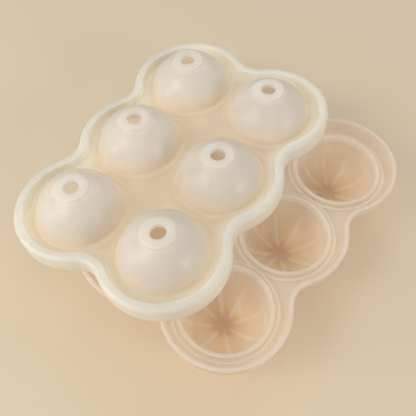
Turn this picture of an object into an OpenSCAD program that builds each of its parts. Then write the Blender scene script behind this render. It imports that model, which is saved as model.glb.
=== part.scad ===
// Two-piece silicone mould for round ice: a tray of cups and a lid of domes with fill holes.
// The lid lies part-way off the tray, with its free side leaning down past the tray's rim.
// Each piece is drawn about the parting plane, where the lid's lands meet the tray's rings.

/* [Cavities] */
// Number of cavities across the mould
columns = 2; // [2:1:4]
// Number of cavities along the mould
rows = 3; // [2:1:5]
// Diameter of the ice ball
ball_d = 45; // [38:0.5:48]
// Distance between the centres of neighbouring balls
pitch = 55; // [54:0.5:62]
// Depth of the ball's centre below the parting plane
ball_sink = 1.6; // [0.5:0.1:2]

/* [Tray cups] */
// Wall of a cup
cup_wall = 2; // [1.5:0.1:3]
// Height of a cup's inner lip above the parting plane
lip_h = 1.4; // [0.8:0.1:2]
// Width of a cup's inner lip at its foot
lip_w = 3; // [2.2:0.1:3.2]
// How far the mouth of a cup opens out at its lip
mouth_flare = 1; // [0:0.1:1.2]
// Width of the valley between the inner lip and the outer ring
valley_w = 1; // [0.6:0.1:1.6]
// Depth of that valley below the parting plane
valley_depth = 1; // [0.5:0.1:1.5]
// Width of the outer ring round a cup
ring_w = 1.7; // [1.5:0.1:3]
// Rounding along the top edges of the lip and the ring
ring_round = 0.5; // [0.2:0.1:0.5]

/* [Tray ribs and feet] */
// Number of ribs that run down the outside of a cup
rib_count = 8; // [4:2:12]
// Thickness of a rib
rib_t = 1.8; // [1:0.1:3]
// How far a rib stands out at the bottom of its cup
rib_h = 2; // [1.6:0.1:3]
// Thickness of the flat foot under a cup
foot_t = 1.5; // [0.8:0.1:1.5]
// Diameter of that foot
foot_d = 12; // [8:0.5:16]

/* [Tray web and rim] */
// Thickness of the web between the cups
web_t = 1.6; // [1.2:0.1:3]
// Depth of the web's top below the parting plane
web_drop = 1.6; // [1.2:0.1:3]
// Width of the floor between the rings and the rim
rim_floor = 1.6; // [1.4:0.1:5]
// Thickness of the rim wall
rim_t = 2.6; // [2:0.1:3.5]
// Height of the rim above the parting plane
rim_h = 7.4; // [5:0.1:9]
// How far the rim leans outward from the web to its top
rim_draft = 1.4; // [0:0.1:1.8]
// Rounding along the rim's top edges
rim_round = 1; // [0.4:0.1:1.1]
// Fillet between the rim and the floor
rim_fillet = 0.8; // [0.2:0.1:1]
// Radius of the inward curves between the lobes, on the rim's outer face
notch_r = 15; // [12:0.5:20]

/* [Lid] */
// Wall of a dome
dome_wall = 2.5; // [2:0.1:3.5]
// Thickness of the web between the domes
lid_web_t = 2; // [1.5:0.1:3]
// Height of the web's underside above the parting plane
lid_web_lift = 1.5; // [1:0.1:2.5]
// Fillet between a dome and the web
dome_fillet = 1.5; // [0.5:0.1:2]
// Play between the lid and the tray where they fit together
fit_gap = 0.2; // [0.1:0.05:0.4]
// Thickness of the skirt that goes round the tray's rim
skirt_t = 1.2; // [1.2:0.1:2.5]
// Depth of the skirt's edge below the parting plane
skirt_drop = 1; // [0.5:0.1:3]
// Thickness of the wall on the inner side of the channel for the tray's rim
channel_wall = 1.1; // [1:0.1:2]
// Thickness of the crest above the tray's rim
crest_t = 1.2; // [1.2:0.1:2.5]
// Rounding of the crest's outer shoulder
shoulder_r = 2.4; // [1.5:0.1:2.4]
// Rounding of the crest's inner edge
crest_round = 1; // [0.4:0.1:1.2]
// Fillet between the crest and the web
crest_fillet = 1; // [0.2:0.1:1.2]

/* [Fill holes] */
// Diameter of the flat boss on top of a dome
boss_d = 18.4; // [17:0.1:22]
// Height of the boss's side above the dome
boss_h = 1.6; // [1.6:0.1:3]
// Rounding of the boss's top edge
boss_round = 0.9; // [0.2:0.1:0.9]
// Fillet between the boss and the dome
boss_fillet = 0.9; // [0.4:0.1:1]
// Diameter of the fill hole
fill_d = 8.6; // [5:0.1:10]

/* [Place of the two pieces] */
// Place of the tray's middle across the frame
tray_x = 25.7; // [0:0.1:60]
// Place of the tray's middle along the frame
tray_y = 3; // [-20:0.1:20]
// Place of the lid's middle across the tray
lid_x = -44.4; // [-60:0.1:0]
// Place of the lid's middle along the tray
lid_y = -3; // [-20:0.1:20]
// Height of the lid's parting plane above the tray's
lid_rise = 8.75; // [8:0.05:30]
// How far the lid's free side leans down
lid_lean = 5.5; // [0:0.1:8]
// How far the lid's far end is raised
lid_nod = -0.2; // [-2:0.1:2]
// How far the lid is turned on the tray
lid_turn = 5.6; // [-10:0.1:10]

/* [Hidden] */
$fn = 96;
eps = 0.5;
ball_r = ball_d / 2;
half_x = (columns - 1) * pitch / 2;
half_y = (rows - 1) * pitch / 2;
cells = [for (i = [0 : columns - 1], k = [0 : rows - 1]) [i * pitch - half_x, k * pitch - half_y]];

// Radii of the tray's rings about a cup's axis, from the cup's wall out to the rim's outer face.
cup_r = ball_r + cup_wall;
lip_r = ball_r + lip_w;
ring_in = lip_r + valley_w;
ring_out = ring_in + ring_w;
tray_r = ring_out + rim_floor + rim_draft + rim_t;

// Heights from the parting plane.
web_top = -web_drop;
web_low = web_top - web_t;
foot_z = -ball_sink - cup_r - foot_t;
lid_web_top = lid_web_lift + lid_web_t;
crest_top = rim_h + fit_gap + crest_t;

// A rib's edge is an arc that leaves the cup at the ball's equator and stands out rib_h at the bottom.
rib_fall = rib_h * (rib_h + 2 * cup_r) / (2 * (cup_r + rib_h));
rib_r = cup_r + rib_h - rib_fall;

// The dome's fillet touches the dome and the web's top.
dome_r = ball_r + dome_wall;
fillet_z = lid_web_top + dome_fillet;
fillet_x = sqrt(pow(dome_r + dome_fillet, 2) - pow(fillet_z + ball_sink, 2));
fillet_top = (fillet_z + ball_sink) * dome_r / (dome_r + dome_fillet) - ball_sink;

// The boss stands on the dome, and its fillet touches the boss's side and the dome.
boss_top = sqrt(dome_r * dome_r - boss_d * boss_d / 4) - ball_sink + boss_h;
neck_x = boss_d / 2 + boss_fillet;
neck_z = sqrt(pow(dome_r + boss_fillet, 2) - neck_x * neck_x) - ball_sink;
neck_low = (neck_z + ball_sink) * dome_r / (dome_r + boss_fillet) - ball_sink;

// The notch between two lobes is a circle with its centre this far outside. It cuts a hair into
// both lobes, so that the walls cross in a shallow crease instead of only touching.
notch_bite = 0.06;
reach = sqrt(pow(tray_r + notch_r, 2) - pow(pitch / 2, 2));

// Centres of the notches along one side, and the points of the filler between the lobes and them.
function side_notches(n, from, step, dir) =
    [for (k = [0 : n - 2]) from + (k + 0.5) * step + reach * [cos(dir), sin(dir)]];
function side_points(n, from, step, dir) =
    [for (k = [0 : n - 2], half = [0, 1]) from + (k + half / 2) * step + half * reach * [cos(dir), sin(dir)]];
notches = concat(
    side_notches(rows, [half_x, -half_y], [0, pitch], 0),
    side_notches(columns, [half_x, half_y], [-pitch, 0], 90),
    side_notches(rows, [-half_x, half_y], [0, -pitch], 180),
    side_notches(columns, [-half_x, -half_y], [pitch, 0], 270));
filler = concat(
    side_points(rows, [half_x, -half_y], [0, pitch], 0),
    side_points(columns, [half_x, half_y], [-pitch, 0], 90),
    side_points(rows, [-half_x, half_y], [0, -pitch], 180),
    side_points(columns, [-half_x, -half_y], [pitch, 0], 270));

// How far the rim's wall at height z stands in from its place under the rounding.
function lean(z) = rim_draft * (rim_h - rim_round - z) / (rim_h - rim_round - web_low);

module at_cells() {
    for (c = cells) translate([c[0], c[1], 0]) children();
}

// Half-section of a round wall, from the axis out to x = foot at the bottom and x = top higher up.
// The top edge is rounded inward and the bottom edge outward, or the other way round where the wall
// opens. It can run on past both ends.
module wall_section(foot, top, low, high, round, fillet, opens, over) {
    edge = opens ? top + round : top - round;
    toe = opens ? foot - fillet : foot + fillet;
    difference() {
        union() {
            polygon([
                [0, low - over], [toe, low - over], [toe, opens ? low : low + fillet],
                [foot, low + fillet], [top, high - round],
                [edge, opens ? high - round : high], [edge, high + over], [0, high + over]]);
            if (opens) quarter(foot, toe, low + fillet, fillet, -1);
            else quarter(top, edge, high - round, round, 1);
        }
        if (opens) quarter(top, edge, high - round, round, 1);
        else quarter(foot, toe, low + fillet, fillet, -1);
    }
}

// Quarter of a disc of radius r about (x, z), on the side of the wall, above or below z.
module quarter(wall, x, z, r, side) {
    if (r > 0)
        intersection() {
            translate([x, z]) circle(r);
            translate([min(wall, x), z - (side < 0 ? r : 0)]) square(r);
        }
}

// Solid block with the lobed outline, its wall set in from the outer face of the tray's rim.
module lobed_block(inset, low, high, draft = 0, round = 0, fillet = 0, opens = false) {
    difference() {
        union() {
            at_cells() rotate_extrude()
                wall_section(tray_r - inset - draft, tray_r - inset, low, high, round, fillet, opens, 0);
            translate([0, 0, low]) linear_extrude(high - low) polygon(filler);
        }
        for (n = notches)
            translate([n[0], n[1], 0]) rotate_extrude()
                wall_section(
                    notch_r + notch_bite + inset + draft, notch_r + notch_bite + inset,
                    low, high, round, fillet, !opens, eps);
    }
}

// Upright bar in a section, with both top edges rounded.
module round_bar(x1, x2, z1, z2, r) {
    translate([x1, z1]) square([x2 - x1, z2 - r - z1]);
    translate([x1 + r, z1]) square([x2 - x1 - 2 * r, z2 - z1]);
    for (x = [x1 + r, x2 - r]) translate([x, z2 - r]) circle(r);
}

// Ring, valley and lip of a cup, drawn solid as far as the axis.
module cup_section() {
    intersection() {
        translate([0, -ball_sink]) circle(cup_r);
        translate([0, -ball_sink - cup_r]) square([cup_r, cup_r + ball_sink + web_top]);
    }
    translate([0, web_low]) square([ring_out, -valley_depth - web_low]);
    round_bar(0, lip_r, web_low, lip_h, ring_round);
    round_bar(ring_in, ring_out, web_low, 0, ring_round);
}

module cup_hollow() {
    translate([0, 0, -ball_sink]) sphere(ball_r);
    translate([0, 0, -ball_sink]) cylinder(r1 = ball_r, r2 = ball_r + mouth_flare, h = ball_sink + lip_h);
    translate([0, 0, lip_h]) cylinder(r = ball_r + mouth_flare, h = eps);
}

module cup_ribs() {
    intersection() {
        translate([0, 0, -ball_sink - rib_fall]) sphere(rib_r);
        for (a = [0 : 360 / rib_count : 179])
            rotate([0, 0, a]) translate([-ring_out, -rib_t / 2, foot_z])
                cube([2 * ring_out, rib_t, web_low - foot_z + eps]);
    }
}

module cup_foot() {
    translate([0, 0, foot_z]) cylinder(d = foot_d, h = foot_t + cup_wall / 2 + foot_d * foot_d / (8 * cup_r));
}

module tray_solid() {
    difference() {
        union() {
            difference() {
                lobed_block(0, web_low, rim_h, rim_draft, rim_round);
                lobed_block(rim_t, web_top, rim_h, lean(web_top), rim_round, rim_fillet, true);
            }
            at_cells() {
                rotate_extrude() cup_section();
                cup_ribs();
                cup_foot();
            }
        }
        at_cells() cup_hollow();
    }
}

// Space inside the lid for the tray's rim, with play on every side.
module rim_channel() {
    difference() {
        lobed_block(-fit_gap, -skirt_drop - eps, rim_h + fit_gap, 0, rim_round + fit_gap);
        lobed_block(rim_t + fit_gap, 0, rim_h + fit_gap, lean(0), rim_round + fit_gap, 0, true);
    }
}

// Dome, its boss and the land round it, drawn solid as far as the axis.
module dome_section() {
    intersection() {
        translate([0, -ball_sink]) circle(dome_r);
        square([dome_r, boss_top - boss_round]);
    }
    square([ring_out, lid_web_top]);
    difference() {
        translate([0, lid_web_lift]) square([fillet_x, fillet_top - lid_web_lift]);
        translate([fillet_x, fillet_z]) circle(dome_fillet);
    }
    difference() {
        translate([0, neck_low]) square([neck_x * dome_r / (dome_r + boss_fillet), neck_z - neck_low]);
        translate([neck_x, neck_z]) circle(boss_fillet);
    }
    translate([0, neck_low]) square([boss_d / 2, boss_top - boss_round - neck_low]);
    square([boss_d / 2 - boss_round, boss_top]);
    translate([boss_d / 2 - boss_round, boss_top - boss_round]) circle(boss_round);
}

module dome_hollow() {
    translate([0, 0, -ball_sink]) sphere(ball_r);
    translate([0, 0, -eps]) cylinder(r = lip_r + fit_gap, h = lip_h + fit_gap + eps);
    translate([0, 0, ball_r / 2]) cylinder(d = fill_d, h = ball_r);
}

module lid_solid() {
    wall_in = rim_t + fit_gap + channel_wall;
    difference() {
        union() {
            difference() {
                lobed_block(-fit_gap - skirt_t, -skirt_drop, crest_top, 0, shoulder_r);
                rim_channel();
                lobed_block(wall_in, lid_web_top, crest_top, lean(lid_web_top), crest_round, crest_fillet, true);
                lobed_block(wall_in + lean(0), -eps, lid_web_lift);
            }
            at_cells() rotate_extrude() dome_section();
        }
        at_cells() dome_hollow();
    }
}

module base_tray() {
    color([0.93, 0.90, 0.86, 0.8]) translate([tray_x, tray_y, -foot_z]) tray_solid();
}

module lid() {
    color([0.97, 0.96, 0.93, 0.85])
        translate([tray_x + lid_x, tray_y + lid_y, lid_rise - foot_z])
            rotate([lid_nod, -lid_lean, lid_turn]) lid_solid();
}

base_tray();
lid();
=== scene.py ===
import math
import bpy
from mathutils import Matrix, Vector

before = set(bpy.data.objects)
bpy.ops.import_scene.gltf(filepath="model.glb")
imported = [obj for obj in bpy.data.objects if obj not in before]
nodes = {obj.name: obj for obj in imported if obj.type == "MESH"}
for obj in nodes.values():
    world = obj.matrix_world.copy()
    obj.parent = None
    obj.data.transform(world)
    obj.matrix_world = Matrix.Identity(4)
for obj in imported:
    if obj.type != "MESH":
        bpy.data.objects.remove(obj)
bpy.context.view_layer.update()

# ---------------------------------------------------------------- camera
CAMERA_AT = Vector((0.10424, -0.13663, 0.28523))
CAMERA_RIGHT = Vector((0.79239, 0.60995, 0.00931))
CAMERA_UP = Vector((-0.52376, 0.67244, 0.52298))
CAMERA_BACK = Vector((0.31273, -0.41928, 0.85229))
FOCAL_PIXELS = 534.1
PHOTO_PIXELS = 416.0
SENSOR = 36.0          # mm
CLIP_NEAR = 0.01
CLIP_FAR = 20

camera_data = bpy.data.cameras.new("camera")
camera_data.sensor_width = SENSOR
camera_data.lens = FOCAL_PIXELS / PHOTO_PIXELS * SENSOR
camera_data.clip_start = CLIP_NEAR
camera_data.clip_end = CLIP_FAR
camera = bpy.data.objects.new("camera", camera_data)
turn = Matrix((CAMERA_RIGHT, CAMERA_UP, CAMERA_BACK)).transposed()
camera.matrix_world = Matrix.Translation(CAMERA_AT) @ turn.to_4x4()
bpy.context.scene.collection.objects.link(camera)
bpy.context.scene.camera = camera

# ---------------------------------------------------------------- the mold's layout, in metres
PITCH = 0.055                           # from one cavity's axis to the next
TRAY_PLACE = (0.0257, 0.003, 0.0276)    # middle of the tray, on its parting plane
TRAY_TURN = (0.0, 0.0, 0.0)             # degrees
LID_PLACE = (-0.0187, 0.0, 0.03635)
LID_TURN = (-0.2, -5.5, 5.6)
LOBE_EDGE = 0.0295                      # a rim or a crest starts this far from a cavity's axis
SIDE_EDGE = 0.0492                      # and, on its outer face, this far from the long middle line
END_EDGE = 0.0782                       # or this far from the short middle line
EDGE_FADE = 0.001                       # and it comes in over this distance
TRAY_RIM_HEIGHTS = (-0.0012, 0.0008)    # the rim's top comes in between these heights
LID_CREST_HEIGHTS = (0.0035, 0.0060)
# The band beside the crest gets painted glow: a lighter tint standing in for light through the
# crest, over the shade there.
PAINTED_GLOW_SIDE = 0.010                       # the band beside the crest starts this far inside SIDE_EDGE
PAINTED_GLOW_WIDTH = 0.006                      # and END_EDGE, and this far inside LOBE_EDGE
RIB_HALF = 0.0010                       # half of a rib's width at the foot
RIB_SPREAD = 0.05                       # it grows this much to either side for each metre outward
RIB_FADE = (-0.3, 1.4)                  # a rib's flank fades between these shares of RIB_HALF
RIB_START = (0.0015, 0.009)             # a rib comes in between these distances from the axis
RIB_END = (0.017, 0.0228)               # and goes out between these
SPAN = 40.0                             # the ramps by distance reach this far, in mm
MM_PER_METRE = 1000


# ---------------------------------------------------------------- node helpers
def node(tree, kind, where, **inputs):
    n = tree.nodes.new(kind)
    n.location = where
    for name, value in inputs.items():
        n.inputs[name.replace("_", " ")].default_value = value
    return n


def plug(tree, value, socket):
    """Link a socket, or set a plain value."""
    if isinstance(value, bpy.types.NodeSocket):
        tree.links.new(value, socket)
    else:
        socket.default_value = value


def calc(tree, operation, a, b, where):
    """One math node. b is None where the operation takes one value."""
    n = node(tree, "ShaderNodeMath", where)
    n.operation = operation
    plug(tree, a, n.inputs[0])
    if b is not None:
        plug(tree, b, n.inputs[1])
    return n.outputs[0]


def blend(tree, kind, factor, a, b, where):
    """Mix two colours. The mix node has a factor, two colours and a result for each kind of data."""
    n = node(tree, "ShaderNodeMix", where)
    n.data_type = "RGBA"
    n.blend_type = kind
    plug(tree, factor, n.inputs[0])
    plug(tree, a, n.inputs[6])
    plug(tree, b, n.inputs[7])
    return n.outputs[2]


def step(tree, value, low, high, bottom, top, where, smooth=True):
    """Run from bottom to top as the value goes from low to high."""
    n = node(tree, "ShaderNodeMapRange", where)
    n.interpolation_type = "SMOOTHSTEP" if smooth else "LINEAR"
    limits = (("From Min", low), ("From Max", high), ("To Min", bottom), ("To Max", top))
    for name, number in limits:
        n.inputs[name].default_value = number
    plug(tree, value, n.inputs["Value"])
    return n.outputs["Result"]


def noise(tree, coords, scale, detail, where):
    n = node(tree, "ShaderNodeTexNoise", where, Scale=scale, Detail=detail)
    tree.links.new(coords, n.inputs["Vector"])
    return n.outputs["Fac"]


def ramp(tree, value, stops, where):
    """A colour ramp. Each stop is (position, colour)."""
    n = node(tree, "ShaderNodeValToRGB", where)
    n.color_ramp.elements[0].position, n.color_ramp.elements[0].color = stops[0]
    n.color_ramp.elements[1].position, n.color_ramp.elements[1].color = stops[-1]
    for position, color in stops[1:-1]:
        n.color_ramp.elements.new(position).color = color
    tree.links.new(value, n.inputs["Fac"])
    return n.outputs["Color"]


def bump(tree, heights, where):
    """Bumps in a chain. Each is (height, strength, distance in metres)."""
    normal = None
    for i, (height, strength, distance) in enumerate(heights):
        place = (where[0], where[1] - 180 * i)
        n = node(tree, "ShaderNodeBump", place, Strength=strength, Distance=distance)
        tree.links.new(height, n.inputs["Height"])
        if normal is not None:
            tree.links.new(normal, n.inputs["Normal"])
        normal = n.outputs["Normal"]
    return normal


def grey(v):
    return (v, v, v, 1)


# ---------------------------------------------------------------- masks on a piece
def piece_axes(tree, coords, place, angles):
    """Distances from the two middle lines of a piece, and the height over its parting plane."""
    turn = node(tree, "ShaderNodeMapping", (-2900, 0))
    turn.vector_type = "TEXTURE"
    turn.inputs["Location"].default_value = place
    turn.inputs["Rotation"].default_value = [math.radians(a) for a in angles]
    tree.links.new(coords, turn.inputs["Vector"])
    axes = node(tree, "ShaderNodeSeparateXYZ", (-2700, 0))
    tree.links.new(turn.outputs["Vector"], axes.inputs["Vector"])
    across = calc(tree, "ABSOLUTE", axes.outputs["X"], None, (-2500, 200))
    along = calc(tree, "ABSOLUTE", axes.outputs["Y"], None, (-2500, 0))
    return across, along, axes.outputs["Z"]


def cell_axes(tree, across, along):
    """Distances across, along and straight out from the axis of the nearest cavity."""
    near_x = calc(tree, "SUBTRACT", across, PITCH / 2, (-2300, 200))
    near_x = calc(tree, "ABSOLUTE", near_x, None, (-2150, 200))
    near_y = along
    for i in range(2):
        near_y = calc(tree, "SUBTRACT", near_y, PITCH / 2, (-2300 + 300 * i, 0))
        near_y = calc(tree, "ABSOLUTE", near_y, None, (-2150 + 300 * i, 0))
    square_x = calc(tree, "MULTIPLY", near_x, near_x, (-1700, 200))
    square_y = calc(tree, "MULTIPLY", near_y, near_y, (-1700, 0))
    total = calc(tree, "ADD", square_x, square_y, (-1550, 100))
    return near_x, near_y, calc(tree, "SQRT", total, None, (-1400, 100))


def rim_mask(tree, across, along, height, out, heights):
    """1 on a piece's rim or crest, 0 on its web and its round cells."""
    raised = step(tree, height, heights[0], heights[1], 0.0, 1.0, (-1700, -300))
    side = step(tree, across, SIDE_EDGE, SIDE_EDGE + EDGE_FADE, 0.0, 1.0, (-1700, -600))
    end = step(tree, along, END_EDGE, END_EDGE + EDGE_FADE, 0.0, 1.0, (-1700, -900))
    outer = calc(tree, "MAXIMUM", side, end, (-1500, -750))
    outer = calc(tree, "MAXIMUM", raised, outer, (-1350, -500))
    beyond = step(tree, out, LOBE_EDGE, LOBE_EDGE + EDGE_FADE, 0.0, 1.0, (-1350, -200))
    return calc(tree, "MULTIPLY", outer, beyond, (-1150, -300))


def painted_glow_mask(tree, across, along, out):
    """Grows from 0 to 1 over the narrow band of web between the cells and the crest round them,
    where a lighter tint paints glow over the shade beside the crest.
    """
    side = step(tree, across, SIDE_EDGE - PAINTED_GLOW_SIDE, SIDE_EDGE, 0.0, 1.0, (-1700, -2100))
    end = step(tree, along, END_EDGE - PAINTED_GLOW_SIDE, END_EDGE, 0.0, 1.0, (-1700, -2400))
    near = step(tree, out, LOBE_EDGE - PAINTED_GLOW_WIDTH, LOBE_EDGE, 0.0, 1.0, (-1700, -2700))
    outer = calc(tree, "MAXIMUM", side, end, (-1500, -2200))
    return calc(tree, "MULTIPLY", outer, near, (-1350, -2300))


def rib_mask(tree, near_x, near_y, out):
    """1 on the eight ribs that run down a cup, 0 off them, with soft flanks and soft ends."""
    slant = calc(tree, "SUBTRACT", near_x, near_y, (-2000, 900))
    slant = calc(tree, "ABSOLUTE", slant, None, (-1850, 900))
    slant = calc(tree, "MULTIPLY", slant, math.sqrt(0.5), (-1700, 900))
    near = calc(tree, "MINIMUM", near_x, near_y, (-1700, 700))
    near = calc(tree, "MINIMUM", near, slant, (-1550, 800))
    widen = calc(tree, "MULTIPLY", out, RIB_SPREAD, (-1550, 1000))
    near = calc(tree, "SUBTRACT", near, widen, (-1400, 1000))
    flank = [RIB_HALF * share for share in RIB_FADE]
    line = step(tree, near, flank[0], flank[1], 1.0, 0.0, (-1250, 1000))
    start = step(tree, out, RIB_START[0], RIB_START[1], 0.0, 1.0, (-1400, 700))
    stop = step(tree, out, RIB_END[0], RIB_END[1], 1.0, 0.0, (-1400, 500))
    started = calc(tree, "MULTIPLY", line, start, (-1200, 800))
    return calc(tree, "MULTIPLY", started, stop, (-1050, 700))


# ---------------------------------------------------------------- silicone
REFRACTION = 1.41
SCATTER_WEIGHT = 0.85
SCATTER_RADIUS = (1.0, 0.95, 0.88)
SCATTER_SCALE = 0.008
SHADOW_SHARE = 0.28         # the share of its hiding that a wall keeps for the light through it
CLOUD = (28.0, 3.0)         # scale and detail of the broad clouds in the colour
FILM = (120.0, 4.0)         # of the uneven satin
GRAIN = (900.0, 2.0)        # and of the finest bumps
NOISE_LOW, NOISE_HIGH = 0.3, 0.7    # the noises are used between these values
VEIL = (0.96, 1.04)         # the clouds darken and lighten the colour by this much
FILM_BUMP = (0.25, 0.00025)
GRAIN_BUMP = (0.12, 0.00008)
TRAY_ROUGHNESS = (0.3, 0.42)    # under 0.275 the denoiser leaves small dark specks
LID_ROUGHNESS = (0.28, 0.37)


def silicone(name, place, angles, cells, rim, rim_heights, rib, painted_glow, rough):
    """Milky silicone. cells lists how much it hides and its tint by distance in mm from a cavity's
    axis. rim gives both for the rim, which is thicker and looks whiter, rib both for the ribs and
    the glow pair both for the band beside the rim, whose lighter tint is painted glow over the
    shade there. rib and the glow pair are None on a piece without them."""
    mat = bpy.data.materials.new(name)
    mat.use_nodes = True
    tree = mat.node_tree
    shader = tree.nodes["Principled BSDF"]
    shader.inputs["IOR"].default_value = REFRACTION
    shader.inputs["Subsurface Weight"].default_value = SCATTER_WEIGHT
    shader.inputs["Subsurface Radius"].default_value = SCATTER_RADIUS
    shader.inputs["Subsurface Scale"].default_value = SCATTER_SCALE
    coords = node(tree, "ShaderNodeTexCoord", (-3100, 0)).outputs["Object"]
    across, along, height = piece_axes(tree, coords, place, angles)
    near_x, near_y, out = cell_axes(tree, across, along)
    on_rim = rim_mask(tree, across, along, height, out, rim_heights)
    reach = calc(tree, "MULTIPLY", out, MM_PER_METRE / SPAN, (-1000, 300))
    hide = ramp(tree, reach, [(mm / SPAN, grey(cover)) for mm, cover, tint in cells], (-800, 300))
    shade = ramp(tree, reach, [(mm / SPAN, tint) for mm, cover, tint in cells], (-800, 600))
    if rib:
        on_rib = rib_mask(tree, near_x, near_y, out)
        hide = blend(tree, "MIX", on_rib, hide, grey(rib[0]), (-500, 300))
        shade = blend(tree, "MIX", on_rib, shade, rib[1], (-500, 600))
    # Painted glow: the band beside the crest is tinted lighter in place of the shade there.
    if painted_glow:
        painted_glow_band = painted_glow_mask(tree, across, along, out)
        hide = blend(tree, "MIX", painted_glow_band, hide, grey(painted_glow[0]), (-400, 450))
        shade = blend(tree, "MIX", painted_glow_band, shade, painted_glow[1], (-400, 750))
    hide = blend(tree, "MIX", on_rim, hide, grey(rim[0]), (-300, 300))
    shade = blend(tree, "MIX", on_rim, shade, rim[1], (-300, 600))
    cloud = noise(tree, coords, CLOUD[0], CLOUD[1], (-1100, -1200))
    film = noise(tree, coords, FILM[0], FILM[1], (-1100, -1500))
    grain = noise(tree, coords, GRAIN[0], GRAIN[1], (-1100, -1800))
    veil = step(tree, cloud, NOISE_LOW, NOISE_HIGH, VEIL[0], VEIL[1], (-800, -1200), smooth=False)
    shade = blend(tree, "MULTIPLY", 1.0, shade, veil, (-100, 600))
    tree.links.new(shade, shader.inputs["Base Color"])
    # Light passes the milky walls more freely than the eye sees through them.
    shadow = node(tree, "ShaderNodeLightPath", (-500, 0)).outputs["Is Shadow Ray"]
    let = step(tree, shadow, 0.0, 1.0, 1.0, SHADOW_SHARE, (-300, 0), smooth=False)
    hide = calc(tree, "MULTIPLY", hide, let, (-200, 150))
    tree.links.new(calc(tree, "MULTIPLY", hide, veil, (-100, 300)), shader.inputs["Alpha"])
    satin = step(tree, film, NOISE_LOW, NOISE_HIGH, rough[0], rough[1], (-800, -1500), smooth=False)
    tree.links.new(satin, shader.inputs["Roughness"])
    normal = bump(tree, [(film, *FILM_BUMP), (grain, *GRAIN_BUMP)], (-500, -1500))
    tree.links.new(normal, shader.inputs["Normal"])
    return mat


def dress(name, material):
    obj = nodes[name]
    obj.data.materials.clear()
    obj.data.materials.append(material)


# Tints of the lid's crest, bosses, domes, web and the band beside the crest, the last a painted glow
# over the shade there.
CREAM = (0.93, 0.88, 0.75, 1)
BOSS = (0.88, 0.83, 0.73, 1)
DOME = (0.81, 0.755, 0.68, 1)
WEB = (0.91, 0.76, 0.57, 1)
PAINTED_GLOW = (0.92, 0.84, 0.70, 1)
# Tints of the tray's rings, rim, cup walls, the top of a cup, its foot and its ribs; the foot's dark
# tint is painted shade where the cup stands on the floor.
RING = (0.83, 0.71, 0.58, 1)
RIM = (0.80, 0.67, 0.55, 1)
CUP = (0.88, 0.63, 0.42, 1)
BRIM = (0.85, 0.67, 0.51, 1)
# painted shade: the foot of a cup is tinted darker where it stands on the floor
PAINTED_POLE_SHADE = (0.80, 0.50, 0.29, 1)
LINE = (0.88, 0.73, 0.57, 1)

# (mm from the nearest cavity's axis, how much the wall hides there, its tint)
# The tray's tint darkens down each cup to painted shade at its foot.
TRAY_CELLS = [
    (0, 0.52, PAINTED_POLE_SHADE), (5, 0.54, PAINTED_POLE_SHADE), (10, 0.56, CUP), (20, 0.62, BRIM),
    (23, 0.80, RING), (28, 0.80, RING), (29, 0.66, RING), (40, 0.66, RING)]
LID_CELLS = [
    (0, 0.74, BOSS), (7.5, 0.74, BOSS), (11.5, 0.64, DOME), (21, 0.62, DOME),
    (25, 0.66, WEB), (29, 0.52, WEB), (40, 0.52, WEB)]

dress("base_tray", silicone(
    "tray_silicone", TRAY_PLACE, TRAY_TURN, TRAY_CELLS,
    rim=(0.76, RIM), rim_heights=TRAY_RIM_HEIGHTS, rib=(0.70, LINE), painted_glow=None,
    rough=TRAY_ROUGHNESS))
dress("lid", silicone(
    "lid_silicone", LID_PLACE, LID_TURN, LID_CELLS,
    rim=(0.80, CREAM), rim_heights=LID_CREST_HEIGHTS, rib=None, painted_glow=(0.70, PAINTED_GLOW),
    rough=LID_ROUGHNESS))

# ---------------------------------------------------------------- floor
FLOOR_SIZE = 6
FLOOR_COLOR = (0.80, 0.66, 0.48, 1)
FLOOR_SHADE = 0.985         # its darker patches
FLOOR_ROUGHNESS = 0.7
FLOOR_PATCHES = (6.0, 3.0)  # scale and detail


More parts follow.
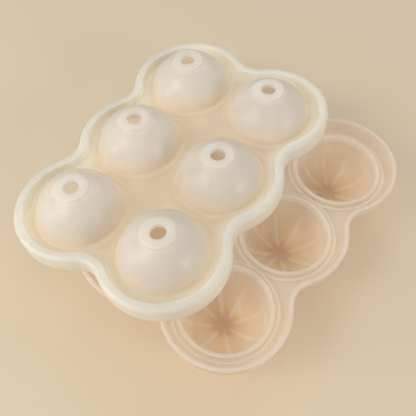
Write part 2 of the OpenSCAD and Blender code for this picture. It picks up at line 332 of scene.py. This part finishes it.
def floor_paint():
    mat = bpy.data.materials.new("floor_paint")
    mat.use_nodes = True
    tree = mat.node_tree
    shader = tree.nodes["Principled BSDF"]
    shader.inputs["Roughness"].default_value = FLOOR_ROUGHNESS
    coords = node(tree, "ShaderNodeTexCoord", (-900, 0)).outputs["Object"]
    patches = noise(tree, coords, FLOOR_PATCHES[0], FLOOR_PATCHES[1], (-700, 0))
    low = tuple(c * FLOOR_SHADE for c in FLOOR_COLOR[:3]) + (1,)
    color = ramp(tree, patches, [(NOISE_LOW, low), (NOISE_HIGH, FLOOR_COLOR)], (-400, 0))
    tree.links.new(color, shader.inputs["Base Color"])
    return mat


bpy.ops.mesh.primitive_plane_add(size=FLOOR_SIZE, location=(0, 0, 0))
floor = bpy.context.object
floor.name = "floor"
floor.data.materials.append(floor_paint())

# ---------------------------------------------------------------- light
LAMPS_AIM = (0, 0, 0.03)
WARM = (1.0, 0.98, 0.95)
LESS_WARM = (1.0, 0.98, 0.96)
COOL = (0.97, 0.98, 1.0)
WORLD_COLOR = (1.0, 0.99, 0.97, 1)
WORLD_STRENGTH = 0.36
SEE_THROUGH_BOUNCES = 16


def lamp(name, at, size, power, color):
    """A soft rectangular lamp that points at the mold. Power is in watts."""
    data = bpy.data.lights.new(name, "AREA")
    data.shape = "RECTANGLE"
    data.size, data.size_y = size
    data.energy = power
    data.color = color
    obj = bpy.data.objects.new(name, data)
    obj.location = at
    aim = Vector(LAMPS_AIM) - Vector(at)
    obj.rotation_euler = aim.to_track_quat("-Z", "Y").to_euler()
    bpy.context.scene.collection.objects.link(obj)


lamp("key", (-0.40, -0.70, 0.75), (0.5, 0.4), 4.6, WARM)
lamp("low", (-0.62, -0.74, 0.28), (0.25, 0.25), 1.7, WARM)
lamp("fill", (0.92, 0.08, 0.45), (0.3, 0.3), 2.6, LESS_WARM)
lamp("back", (-0.3, 0.9, 0.9), (0.8, 0.6), 3.0, COOL)

world = bpy.data.worlds.new("world")
world.use_nodes = True
background = world.node_tree.nodes["Background"]
background.inputs["Color"].default_value = WORLD_COLOR
background.inputs["Strength"].default_value = WORLD_STRENGTH
bpy.context.scene.world = world

bpy.context.scene.cycles.transparent_max_bounces = SEE_THROUGH_BOUNCES
bpy.context.scene.view_settings.view_transform = "Standard"
